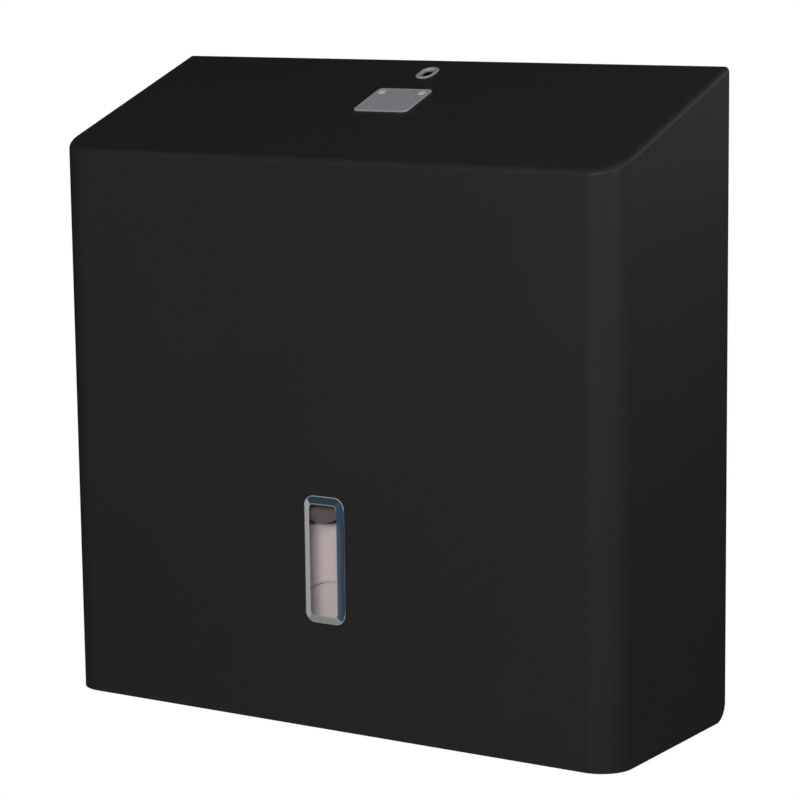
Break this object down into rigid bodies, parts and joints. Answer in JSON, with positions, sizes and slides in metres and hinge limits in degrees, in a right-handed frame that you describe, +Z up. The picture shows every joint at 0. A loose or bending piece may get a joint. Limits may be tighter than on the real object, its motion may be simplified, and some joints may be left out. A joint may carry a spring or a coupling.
{
  "type": "toilet paper dispenser",
  "caption": "Wall-hung black steel cabinet with a sloped roof, front window and drop-down hood over a turning magazine of toilet rolls, which are pulled from the open bottom.",
  "frame": {"origin": "on the wall plane (rear face of the back plate), on the axis of the magazine, which is the middle of the four wall holes", "axes": "+X to the right seen from the room, +Y into the wall, +Z up"},
  "size_m": [0.315, 0.1144, 0.316],
  "materials": {
    "black_steel": "satin",
    "zinc_steel": "satin",
    "turned_steel": "satin",
    "spring_steel": "satin",
    "rivet_metal": "satin",
    "satin_plate": "satin",
    "clear_lens": "gloss",
    "grey_plastic": "satin",
    "dark_plastic": "satin",
    "white_plastic": "satin",
    "core_board": "matte",
    "tissue": "matte"
  },
  "bodies": {
    "wall_unit": {"back_plate": "zinc_steel", "pivot_stud": "turned_steel", "stud_washer": "turned_steel", "stud_clip": "spring_steel", "detent_spring": "spring_steel", "detent_rivets": "rivet_metal", "strike_bracket": "zinc_steel", "strike_rivets": "rivet_metal", "hinge_pin_left": "turned_steel", "hinge_pin_right": "turned_steel", "hinge_washers": "white_plastic"},
    "cover": {"cover_shell": "black_steel", "hinge_leaf_left": "black_steel", "hinge_leaf_right": "black_steel", "window_lens": "clear_lens", "nameplate": "satin_plate", "nameplate_rivets": "rivet_metal", "keyhole_grommet": "grey_plastic", "lock_case": "black_steel"},
    "bolt": {"lock_bolt": "black_steel"},
    "carousel": {"carousel_cross": "zinc_steel", "carousel_hub": "dark_plastic", "hub_bush_rear": "white_plastic", "hub_bush_front": "white_plastic", "hub_screws": "turned_steel", "hub_knob": "dark_plastic", "peg_bottom": "white_plastic", "peg_right": "white_plastic", "peg_top": "white_plastic", "peg_left": "white_plastic", "peg_screws": "turned_steel"},
    "roll_bottom": {"roll_core_bottom": "core_board", "paper_roll_bottom": "tissue"},
    "roll_right": {"roll_core_right": "core_board", "paper_roll_right": "tissue"},
    "roll_top": {"roll_core_top": "core_board", "paper_roll_top": "tissue"},
    "roll_left": {"roll_core_left": "core_board", "paper_roll_left": "tissue"}
  },
  "joints": [
    {"name": "cover_hinge", "type": "hinge", "parent": "wall_unit", "child": "cover", "pos_m": [0, -0.01, -0.117], "axis": [1, 0, 0], "range_deg": [0, 90]},
    {"name": "lock_slide", "type": "slide", "parent": "cover", "child": "bolt", "axis": [1, 0, 0], "range_m": [0, 0.009]},
    {"name": "carousel_turn", "type": "hinge", "parent": "wall_unit", "child": "carousel", "pos_m": [0, -0.05, 0], "axis": [0, 1, 0], "continuous": true, "deforming": ["detent_spring"]},
    {"name": "roll_bottom_spin", "type": "hinge", "parent": "carousel", "child": "roll_bottom", "pos_m": [0, -0.06, -0.07495], "axis": [0, 1, 0], "continuous": true},
    {"name": "roll_right_spin", "type": "hinge", "parent": "carousel", "child": "roll_right", "pos_m": [0.07495, -0.06, 0], "axis": [0, 1, 0], "continuous": true},
    {"name": "roll_top_spin", "type": "hinge", "parent": "carousel", "child": "roll_top", "pos_m": [0, -0.06, 0.07495], "axis": [0, 1, 0], "continuous": true},
    {"name": "roll_left_spin", "type": "hinge", "parent": "carousel", "child": "roll_left", "pos_m": [-0.07495, -0.06, 0], "axis": [0, 1, 0], "continuous": true}
  ]
}
